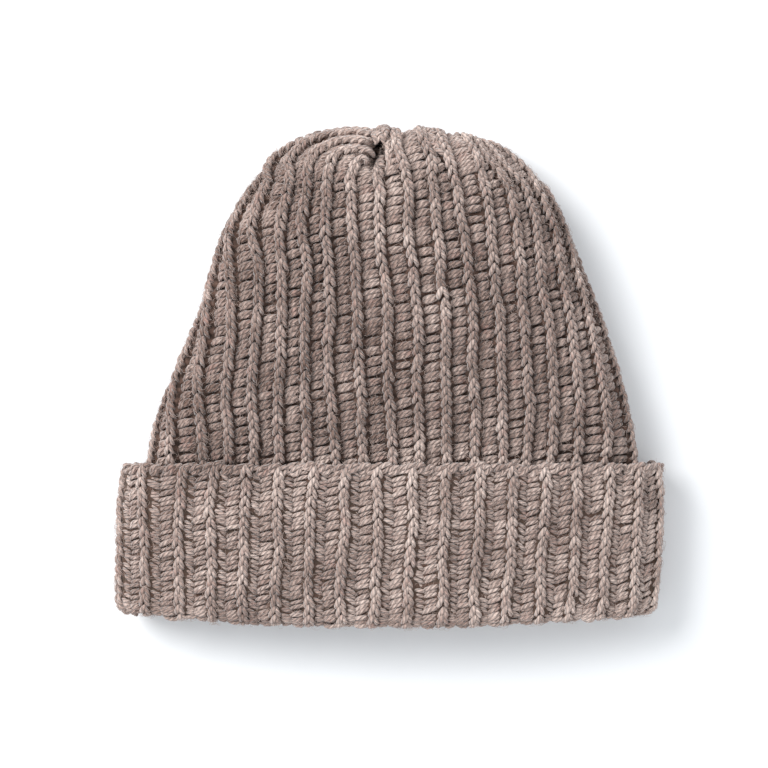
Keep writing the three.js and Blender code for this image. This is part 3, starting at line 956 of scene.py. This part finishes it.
FRONT_FIBRES = 0.75  # share of the loose fibres that lie on the hat's front
FIBRE_ROOT = 0.6  # mm under the ridges' tops, where a fibre starts
VALLEY_FALL = 1.5  # mm that it starts deeper in a valley
FIBRE_TAPER = (1.0, 1.0, 0.8, 0.4)


def loose_fibres(face, count, lowest, seed):
    """Fine fibres that stand out of the yarn and lie over it in all directions.

    Real ones are about 0.03 mm thick and far more. These are drawn coarser, so that they show.
    """
    rng = np.random.default_rng(seed)
    half = RIB_COUNT / 2
    in_front = rng.uniform(size=count) < FRONT_FIBRES
    ribs = np.where(in_front, rng.uniform(0, half, count), rng.uniform(half, RIB_COUNT, count))
    lengths = lowest + (face.lengths[-1].min() - lowest) * rng.uniform(size=count)
    step = np.array([0.0, 0.33, 0.67, 1.0])
    size = rng.uniform(1.6, 4.6, (count, 1))
    angle = rng.uniform(0, 2 * math.pi, (count, 1)) + rng.normal(0, 1.3, (count, 1)) * step
    right = size * step * np.cos(angle)
    along = size * step * np.sin(angle)
    root = FIBRE_ROOT + VALLEY_FALL * np.sin(math.pi * ribs[:, None]) ** 2
    rise = FIBRE_ROOT + rng.uniform(0.3, 1.3, (count, 1))
    arch = np.sin(math.pi * (0.1 + 0.75 * step))
    depth = root - rise * arch + rng.normal(0, 0.15, (count, len(step)))
    radius = rng.uniform(0.035, 0.06, (count, 1)) * np.array(FIBRE_TAPER)
    return [strands_on(face, ribs, lengths, right, along, depth, radius, rng.uniform(0.1, 0.75, count))]


def visible_from(face):
    """Length along the crown's ribs at which they come out of the cuff."""
    row = np.argmax(face.points[:, 0, 1] > CUFF_DEPTH - HAT_LENGTH / 2)
    return face.lengths[row].min()


def crown_starts(face, sizes):
    """The crown's stitches, from two rows inside the cuff to 1 mm before the ribs' ends."""
    stitch = sizes.stitch / MM
    return stitch_starts(face, visible_from(face) - 2 * stitch, stitch, 1.0)


# Materials


def add_node(tree, kind, settings=None, links=None):
    """Adds a node, sets its properties and inputs, and links its inputs from other nodes' outputs."""
    node = tree.nodes.new(kind)
    for key, value in (settings or {}).items():
        if isinstance(key, str) and hasattr(node, key):
            setattr(node, key, value)
        else:
            node.inputs[key].default_value = value
    for key, source in (links or {}).items():
        tree.links.new(source, node.inputs[key])
    return node


def ramp_stops(node, stops):
    elements = node.color_ramp.elements
    while len(elements) < len(stops):
        elements.new(0.5)
    for element, (position, colour) in zip(elements, stops):
        element.position = position
        element.color = colour


# How the patterns of the wool are sized
FIBRES_ALONG = 0.45  # streaks of fibres for each mm along the yarn
FIBRES_ACROSS = 12.0  # and for each turn round it
PATCH_SIZE = 9.09  # mm, patches of a paler or darker blend
ROSE_SIZE = 5.263  # mm, pinkish patches
BROAD_SIZE = 23.81  # mm, parts of the hat that are a little lighter or darker
GRAIN_SIZE = 1.4286  # mm, grain of the wool between the stitches
ROW_SPACING = 4.0277  # mm, rows of stitches along the ribs
YARN_RELIEF = 0.6  # mm, depth of the grooves between the plies
WALL_RELIEF = 1.2  # mm, depth of the stitches' roots
GROOVE_SHADE = 0.7  # how much of its colour is left in a groove


def per_metre(size):
    """Scale of a noise on Object coordinates whose patches are so many millimetres across."""
    return 1 / (size * MM)


def new_material(name):
    material = bpy.data.materials.new(name)
    material.use_nodes = True
    material.node_tree.nodes.clear()
    return material, material.node_tree


def yarn_material(name, sizes, colours):
    """Plied wool-blend yarn, spun from fibres of several shades: matt, soft, streaked along its plies."""
    material, tree = new_material(name)
    uv = add_node(tree, "ShaderNodeUVMap", {"uv_map": "strand"})
    split = add_node(tree, "ShaderNodeSeparateXYZ", {}, {0: uv.outputs[0]})
    way, turn = split.outputs[0], split.outputs[1]
    # The plies wind round the strand: turn less way over lay stays the same along a ply
    winding = {"operation": "MULTIPLY_ADD", 1: -MM / sizes.lay}
    twist = add_node(tree, "ShaderNodeMath", winding, {0: way, 2: turn})
    half_turns = {"operation": "MULTIPLY", 1: math.pi * sizes.plies}
    phase = add_node(tree, "ShaderNodeMath", half_turns, {0: twist.outputs[0]})
    wave = add_node(tree, "ShaderNodeMath", {"operation": "SINE"}, {0: phase.outputs[0]})
    ply = add_node(tree, "ShaderNodeMath", {"operation": "ABSOLUTE"}, {0: wave.outputs[0]})
    # Fibres run along the plies: noise drawn out along them
    fibre_place = add_node(tree, "ShaderNodeCombineXYZ", {}, {0: way, 1: twist.outputs[0]})
    drawn_out = {"operation": "MULTIPLY", 1: (FIBRES_ALONG, FIBRES_ACROSS, 1.0)}
    fibre_scale = add_node(tree, "ShaderNodeVectorMath", drawn_out, {0: fibre_place.outputs[0]})
    streaks = {"Scale": 1.0, "Detail": 2.0, "Roughness": 0.6}
    fibres = add_node(tree, "ShaderNodeTexNoise", streaks, {"Vector": fibre_scale.outputs[0]})
    # The wool's blend is uneven in small patches, and the whole hat in broad ones
    place = {"Vector": add_node(tree, "ShaderNodeTexCoord").outputs["Object"]}
    patches = add_node(tree, "ShaderNodeTexNoise", {"Scale": per_metre(PATCH_SIZE), "Detail": 2.0}, place)
    rosy = add_node(tree, "ShaderNodeTexNoise", {"Scale": per_metre(ROSE_SIZE), "Detail": 1.0}, place)
    broad = add_node(tree, "ShaderNodeTexNoise", {"Scale": per_metre(BROAD_SIZE), "Detail": 1.0}, place)
    # The strands' tone: random, with the ribs' painted light and shade added
    tone = add_node(tree, "ShaderNodeAttribute", {"attribute_name": "tone"})
    # Their sum, each with its own weight
    total = add_node(
        tree, "ShaderNodeMath", {"operation": "MULTIPLY_ADD", 1: 0.7, 2: -0.35}, {0: broad.outputs[0]}
    )
    for source, weight in ((patches.outputs[0], 0.5), (fibres.outputs[0], 1.1), (tone.outputs["Fac"], 0.35)):
        weighted = {"operation": "MULTIPLY_ADD", 1: weight}
        total = add_node(tree, "ShaderNodeMath", weighted, {0: source, 2: total.outputs[0]})
    extent = {"From Min": 0.58, "From Max": 1.38}
    shade = add_node(tree, "ShaderNodeMapRange", extent, {"Value": total.outputs[0]})
    ramp = add_node(tree, "ShaderNodeValToRGB", {}, {0: shade.outputs[0]})
    ramp_stops(ramp, [(0.0, colours.dark), (0.5, colours.taupe), (1.0, colours.pale)])
    strongest = {"From Min": 0.58, "From Max": 0.78, "To Max": 0.55}
    rose_share = add_node(tree, "ShaderNodeMapRange", strongest, {"Value": rosy.outputs[0]})
    rose = {"data_type": "RGBA", 7: colours.rose}
    heather = add_node(tree, "ShaderNodeMix", rose, {0: rose_share.outputs[0], 6: ramp.outputs[0]})
    # Little light reaches the grooves between the plies
    dimmed = {"From Max": 0.42, "To Min": GROOVE_SHADE, "To Max": 1.0}
    groove = add_node(tree, "ShaderNodeMapRange", dimmed, {"Value": ply.outputs[0]})
    colour_and_light = {0: heather.outputs[2], "Scale": groove.outputs[0]}
    shaded = add_node(tree, "ShaderNodeVectorMath", {"operation": "SCALE"}, colour_and_light)
    rounding = {"operation": "MULTIPLY_ADD", 1: 0.5}
    height = add_node(tree, "ShaderNodeMath", rounding, {0: fibres.outputs[0], 2: ply.outputs[0]})
    relief = {"Strength": 0.9, "Distance": YARN_RELIEF * MM}
    bump = add_node(tree, "ShaderNodeBump", relief, {"Height": height.outputs[0]})
    surface = add_node(
        tree,
        "ShaderNodeBsdfPrincipled",
        {"Roughness": 0.92, "Sheen Weight": 0.42, "Sheen Roughness": 0.5, "Specular IOR Level": 0.12},
        {"Base Color": shaded.outputs[0], "Normal": bump.outputs[0]},
    )
    add_node(tree, "ShaderNodeOutputMaterial", {}, {0: surface.outputs[0]})
    return material


def fabric_material(name, shade, colours):
    """The same yarn seen between the stitches, with no strand of its own, coloured in painted shade."""
    material, tree = new_material(name)
    place = {"Vector": add_node(tree, "ShaderNodeTexCoord").outputs["Object"]}
    grain = add_node(tree, "ShaderNodeTexNoise", {"Scale": per_metre(GRAIN_SIZE), "Detail": 3.0}, place)
    # The wave has ten over pi bands for each unit of its scale
    bands = {"bands_direction": "Y", "Scale": per_metre(ROW_SPACING) * math.pi / 10, "Distortion": 2.5}
    rows = add_node(tree, "ShaderNodeTexWave", bands, place)
    joined = {0: rows.outputs["Fac"], 2: grain.outputs[0]}
    relief = add_node(tree, "ShaderNodeMath", {"operation": "MULTIPLY_ADD", 1: 0.4}, joined)
    ramp = add_node(tree, "ShaderNodeValToRGB", {}, {0: relief.outputs[0]})
    ramp_stops(ramp, [(0.5, shade), (1.0, colours.dark)])
    depth = {"Strength": 0.9, "Distance": WALL_RELIEF * MM}
    bump = add_node(tree, "ShaderNodeBump", depth, {"Height": relief.outputs[0]})
    surface = add_node(
        tree,
        "ShaderNodeBsdfPrincipled",
        {"Roughness": 0.95, "Sheen Weight": 0.2, "Specular IOR Level": 0.1},
        {"Base Color": ramp.outputs[0], "Normal": bump.outputs[0]},
    )
    add_node(tree, "ShaderNodeOutputMaterial", {}, {0: surface.outputs[0]})
    return material


def fluff_material(name, colours):
    """Single wool fibres: pale, and they catch the light along their whole length."""
    material, tree = new_material(name)
    tone = add_node(tree, "ShaderNodeAttribute", {"attribute_name": "tone"})
    shades = {"data_type": "RGBA", 6: colours.taupe, 7: colours.pale}
    blend = add_node(tree, "ShaderNodeMix", shades, {0: tone.outputs["Fac"]})
    surface = add_node(
        tree,
        "ShaderNodeBsdfPrincipled",
        {"Roughness": 0.8, "Sheen Weight": 0.2, "Specular IOR Level": 0.2},
        {"Base Color": blend.outputs[2]},
    )
    add_node(tree, "ShaderNodeOutputMaterial", {}, {0: surface.outputs[0]})
    return material


def material_named(name, maker, *args):
    return bpy.data.materials.get(name) or maker(name, *args)


# Pieces


# The walls under the stitches. Each face: how deep it lies at the ridges and in the valleys, in mm under the
# ridges' tops, and its rows of points.
WALL_POINTS = 8  # to a rib
WALL_SHARPNESS = 1.6  # how narrow the wall's ridges are
CROWN_WALL_OUTSIDE = (1.3, 4.4, 66)
CROWN_WALL_INSIDE = (4.6, 5.8, 34)
CUFF_WALL_OUTSIDE = (1.3, 3.5, 38)
CUFF_WALL_INSIDE = (4.3, 4.6, 38)
OUTSIDE_SHORT = 2  # rows of the crown's face that its wall leaves out at the gather, outside
INSIDE_SHORT = 26  # and inside
CUFF_SHORT = 3.5  # rows that the cuff's wall leaves out at the free edge


def wall_rings(face, first, last, wall):
    """Rings of points under the stitches: shallow under the ridges, deeper between them."""
    ridge_depth, valley_depth, count = wall
    ribs = np.arange(RIB_COUNT * WALL_POINTS) / WALL_POINTS
    rows, ribs = np.meshgrid(np.linspace(first, last, count), ribs, indexing="ij")
    swing = ((1 + np.cos(2 * math.pi * ribs)) / 2) ** WALL_SHARPNESS
    depth = valley_depth + (ridge_depth - valley_depth) * swing
    return face.at(rows, face.stand(ribs, rows), depth)


def fabric_of(name, shade, colours):
    return material_named(name, fabric_material, shade, colours)


def yarn_of(context):
    scene = context.scene
    return material_named("Plied wool-blend yarn", yarn_material, scene.beanie_sizes, scene.beanie_colours)


class BEANIE_OT_crown_fabric(bpy.types.Operator):
    """Makes the crown's wall, which backs its stitches and shows inside the hat, coloured in painted shade"""

    bl_idname = "beanie.crown_fabric"
    bl_label = "Crown fabric"

    def execute(self, context):
        face = FACES["crown"]
        last = len(face.points) - 1
        outer = wall_rings(face, 0, last - OUTSIDE_SHORT, CROWN_WALL_OUTSIDE)
        inner = wall_rings(face, last - INSIDE_SHORT, 0, CROWN_WALL_INSIDE)
        points = np.concatenate([inner, outer])
        ring = points.shape[1]
        quads = grid_quads(len(points), ring, False)
        vertices = points.reshape(-1, 3)
        size = len(vertices)
        vertices = np.vstack([vertices, points[0].mean(axis=0), points[-1].mean(axis=0)])
        pairs = np.arange(0, ring, 2)
        caps = []
        for start, middle, flip in ((0, size, 1), (size - ring, size + 1, -1)):
            centre = np.full(len(pairs), middle)
            corners = [start + pairs, start + pairs + 1, start + (pairs + 2) % ring, centre]
            caps.append(np.stack(corners[::flip], axis=1))
        quads = np.concatenate([quads, *caps])
        colours = context.scene.beanie_colours
        fabric = fabric_of("Wool between crown stitches", colours.shade, colours)
        piece = new_piece("crown_fabric", vertices, quads.tolist(), fabric)
        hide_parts("crown")
        return {"FINISHED"}


class BEANIE_OT_crown_gather(bpy.types.Operator):
    """Lays the loops that draw the top shut"""

    bl_idname = "beanie.crown_gather"
    bl_label = "Crown gather"

    def execute(self, context):
        sizes = context.scene.beanie_sizes
        groups = gather_loops(sizes) + seam_tangle(sizes) + end_tangle(FACES["crown"], sizes)
        strand_mesh("crown_gather", groups, yarn_of(context))
        return {"FINISHED"}


class BEANIE_OT_cuff_fabric(bpy.types.Operator):
    """Makes the cuff's wall, which backs its stitches, coloured in painted shade"""

    bl_idname = "beanie.cuff_fabric"
    bl_label = "Cuff fabric"

    def execute(self, context):
        face = FACES["cuff"]
        last = len(face.points) - 1 - CUFF_SHORT
        outer = wall_rings(face, 0, last, CUFF_WALL_OUTSIDE)
        inner = wall_rings(face, last, 0, CUFF_WALL_INSIDE)
        points = np.concatenate([inner, outer])
        quads = grid_quads(len(points), points.shape[1], True)
        colours = context.scene.beanie_colours
        fabric = fabric_of("Wool between cuff stitches", colours.cuff_painted_light_and_shade, colours)
        piece = new_piece("cuff_fabric", points.reshape(-1, 3), quads.tolist(), fabric)
        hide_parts("cuff")
        return {"FINISHED"}


class BEANIE_OT_crown_ridges(bpy.types.Operator):
    """Lays the chain stitches of the crown's ridges"""

    bl_idname = "beanie.crown_ridges"
    bl_label = "Crown ridges"

    def execute(self, context):
        sizes = context.scene.beanie_sizes
        face = FACES["crown"]
        chain = ridge_chain(face, crown_starts(face, sizes), sizes, 11, crown_painted_light_and_shade)
        strand_mesh("crown_ridges", chain, yarn_of(context))
        return {"FINISHED"}


class BEANIE_OT_crown_valleys(bpy.types.Operator):
    """Lays the paired strands between the crown's ridges"""

    bl_idname = "beanie.crown_valleys"
    bl_label = "Crown valleys"

    def execute(self, context):
        sizes = context.scene.beanie_sizes
        face = FACES["crown"]
        strands = valley_strands(face, crown_starts(face, sizes), CROWN_BEAD, sizes, 21, crown_painted_light_and_shade)
        strand_mesh("crown_valleys", strands, yarn_of(context))
        return {"FINISHED"}


RIDGE_MARGIN = 3.7  # mm from the cuff's free edge to its last ridge stitch
VALLEY_MARGIN = 3.8
CUFF_LEAST_ROOM = 5.0  # mm between ribs, below which the cuff has no valley strands
CUFF_LOOSE = 1.9  # how unevenly the cuff's strands lie
EDGE_LINKS = 106  # links of the chain round the cuff's free edge
EDGE_DEPTH = 1.6  # mm from the end of the face to the chain
EDGE_TONE = 0.26


class BEANIE_OT_cuff_ridges(bpy.types.Operator):
    """Lays the chain stitches of the cuff's ridges, round the fold and into the hat"""

    bl_idname = "beanie.cuff_ridges"
    bl_label = "Cuff ridges"

    def execute(self, context):
        sizes = context.scene.beanie_sizes
        face = FACES["cuff"]
        stitch = sizes.stitch / MM
        starts = stitch_starts(face, 0.5 * stitch, stitch, RIDGE_MARGIN, from_end=True)
        chain = ridge_chain(face, starts, sizes, 31, cuff_painted_light_and_shade)
        strand_mesh("cuff_ridges", chain, yarn_of(context))
        return {"FINISHED"}


class BEANIE_OT_cuff_valleys(bpy.types.Operator):
    """Lays the two slanting rows of strands between the cuff's ridges"""

    bl_idname = "beanie.cuff_valleys"
    bl_label = "Cuff valleys"

    def execute(self, context):
        sizes = context.scene.beanie_sizes
        face = FACES["cuff"]
        stitch = sizes.stitch / MM
        starts = stitch_starts(face, 0.3 * stitch, stitch, VALLEY_MARGIN, from_end=True)
        halves = (("left", CUFF_VALLEY_LEFT, 0.85), ("right", CUFF_VALLEY_RIGHT, 0.88))
        for number, (side, path, thin) in enumerate(halves):
            groups = []
            for row, offset in enumerate((0.0, 0.5 * stitch)):
                seed = 41 + 5 * number + row
                lay = {"least_room": CUFF_LEAST_ROOM, "thin": thin, "offset": offset, "loose": CUFF_LOOSE}
                groups += valley_strands(face, starts, (path,), sizes, seed, cuff_painted_light_and_shade, **lay)
            strand_mesh("cuff_valleys_" + side, groups, yarn_of(context))
        return {"FINISHED"}


class BEANIE_OT_cuff_edge(bpy.types.Operator):
    """Lays the chain that binds off the cuff's free edge"""

    bl_idname = "beanie.cuff_edge"
    bl_label = "Cuff edge"

    def execute(self, context):
        sizes = context.scene.beanie_sizes
        face = FACES["cuff"]
        rng = np.random.default_rng(61)
        groups = []
        step = RIB_COUNT / EDGE_LINKS
        start = np.arange(EDGE_LINKS) * step + step * 0.22 * rng.uniform(-1, 1, EDGE_LINKS)
        shared = rng.normal(0, 1, EDGE_LINKS)
        for number, path in enumerate(EDGE_LOOPS):
            path = np.array(path)
            ribs = start + 0.5 * step * (number == 2)
            whole, own = rng.normal(0, 1, (2, EDGE_LINKS, 4))
            bob = 0.45 * np.cos(2 * math.pi * ribs) + 0.35 * shared
            lengths = length_left(face, ribs, 0) - EDGE_DEPTH + bob
            right = path[:, 0] * (1 + 0.1 * own[:, :1])
            along = path[:, 1] * (1 + 0.15 * own[:, 1:2]) + 0.15 * own[:, 3:4] + 0.2 * right
            depth = path[:, 2] + 0.25 * whole[:, 1:2] + 0.15 * own[:, 2:3]
            radius = yarn_radius(sizes) * path[:, 3] * (1 + 0.08 * whole[:, 2:3])
            # The cuff's painted light and shade is added to the edge chain's tone.
            tone = EDGE_TONE + cuff_painted_light_and_shade(ribs, lengths) + 0.15 * whole[:, 3]
            groups.append(strands_on(face, ribs, lengths, right, along, depth, radius, tone))
        strand_mesh("cuff_edge", groups, yarn_of(context))
        return {"FINISHED"}


CROWN_FIBRES = 7000
GATHER_FIBRES = 1300
CUFF_FIBRES = 5500
GATHER_REACH = 30  # mm before the ribs' ends, where the gather's fibres start
LIP_REACH = 6.0  # mm from the end of the cuff's lip, where its fibres start


class BEANIE_OT_loose_fibres(bpy.types.Operator):
    """Scatters the loose fibres that make the yarn look woolly"""

    bl_idname = "beanie.loose_fibres"
    bl_label = "Loose fibres"

    def execute(self, context):
        fluff = material_named("Loose wool fibres", fluff_material, context.scene.beanie_colours)
        crown, cuff = FACES["crown"], FACES["cuff"]
        on_crown = loose_fibres(crown, CROWN_FIBRES, visible_from(crown), 71)
        on_gather = loose_fibres(crown, GATHER_FIBRES, crown.lengths[-1].min() - GATHER_REACH, 73)
        on_cuff = loose_fibres(cuff, CUFF_FIBRES, LIP_REACH, 75)
        strand_mesh("crown_fibres", on_crown + on_gather, fluff, sides=3, flat=1.0)
        strand_mesh("cuff_fibres", on_cuff, fluff, sides=3, flat=1.0)
        return {"FINISHED"}


def aim(place):
    """Rotation that turns a light to face the hat."""
    x, y, z = place
    return (math.atan2(math.hypot(x, y), z), 0, math.atan2(x, -y))


class BEANIE_OT_stage(bpy.types.Operator):
    """Sets the floor, the lights and the camera straight above the hat"""

    bl_idname = "beanie.stage"
    bl_label = "Stage"

    def execute(self, context):
        scene = context.scene
        bpy.ops.object.select_all(action="DESELECT")
        bpy.ops.mesh.primitive_plane_add(size=FLOOR_SIZE, location=(0, 0, -FLOOR_DEPTH * MM))
        floor = context.active_object
        floor.name = "floor"
        floor_paint = bpy.data.materials.new("Matt white board")
        floor_paint.use_nodes = True
        shader = floor_paint.node_tree.nodes["Principled BSDF"]
        shader.inputs["Base Color"].default_value = scene.beanie_colours.floor
        shader.inputs["Roughness"].default_value = 0.9
        floor.data.materials.append(floor_paint)
        world = bpy.data.worlds.new("Soft studio")
        world.use_nodes = True
        sky = world.node_tree.nodes["Background"].inputs
        sky[0].default_value = linear(SKY_COLOUR)
        sky[1].default_value = SKY_STRENGTH
        scene.world = world
        for name, place, power, size in LIGHTS:
            light = bpy.data.lights.new(name, "AREA")
            light.energy = power
            light.size = size
            lamp = bpy.data.objects.new(name, light)
            lamp.location = place
            lamp.rotation_euler = aim(place)
            scene.collection.objects.link(lamp)
        camera_data = bpy.data.cameras.new("camera")
        distance = CAMERA_HEIGHT - CROWN_HEIGHT * SCALE_HEIGHT
        camera_data.sensor_width = SENSOR_WIDTH
        camera_data.lens = SENSOR_WIDTH * distance / (PHOTO_SIZE * PHOTO_SCALE)
        camera_data.clip_end = FAR_END
        camera = bpy.data.objects.new("camera", camera_data)
        offset_x = (PHOTO_SIZE / 2 - HAT_CENTRE_PX[0]) * PHOTO_SCALE
        offset_y = (HAT_CENTRE_PX[1] - PHOTO_SIZE / 2) * PHOTO_SCALE
        camera.location = (offset_x * MM, offset_y * MM, CAMERA_HEIGHT * MM)
        scene.collection.objects.link(camera)
        scene.camera = camera
        scene.view_settings.view_transform = "Standard"
        scene.view_settings.look = "None"
        return {"FINISHED"}


OPERATORS = (
    BEANIE_OT_crown_fabric,
    BEANIE_OT_crown_ridges,
    BEANIE_OT_crown_valleys,
    BEANIE_OT_crown_gather,
    BEANIE_OT_cuff_fabric,
    BEANIE_OT_cuff_ridges,
    BEANIE_OT_cuff_valleys,
    BEANIE_OT_cuff_edge,
    BEANIE_OT_loose_fibres,
    BEANIE_OT_stage,
)


class BEANIE_PT_panel(bpy.types.Panel):
    """Lists the beanie's pieces and sizes"""

    bl_idname = "BEANIE_PT_panel"
    bl_label = "Beanie"
    bl_space_type = "VIEW_3D"
    bl_region_type = "UI"
    bl_category = "Beanie"

    def draw(self, context):
        for group in (context.scene.beanie_sizes, context.scene.beanie_colours):
            for name in group.bl_rna.properties.keys():
                if name not in ("rna_type", "name"):
                    self.layout.prop(group, name)
        for operator in OPERATORS:
            self.layout.operator(operator.bl_idname)


CLASSES = (BeanieSizes, BeanieColours, *OPERATORS, BEANIE_PT_panel)


def register():
    for item in CLASSES:
        bpy.utils.register_class(item)
    bpy.types.Scene.beanie_sizes = bpy.props.PointerProperty(type=BeanieSizes)
    bpy.types.Scene.beanie_colours = bpy.props.PointerProperty(type=BeanieColours)


def unregister():
    del bpy.types.Scene.beanie_colours
    del bpy.types.Scene.beanie_sizes
    for item in reversed(CLASSES):
        bpy.utils.unregister_class(item)


def main():
    register()
    bpy.ops.object.select_all(action="DESELECT")
    for operator in OPERATORS:
        family, name = operator.bl_idname.split(".")
        getattr(getattr(bpy.ops, family), name)()


if __name__ == "__main__":
    main()
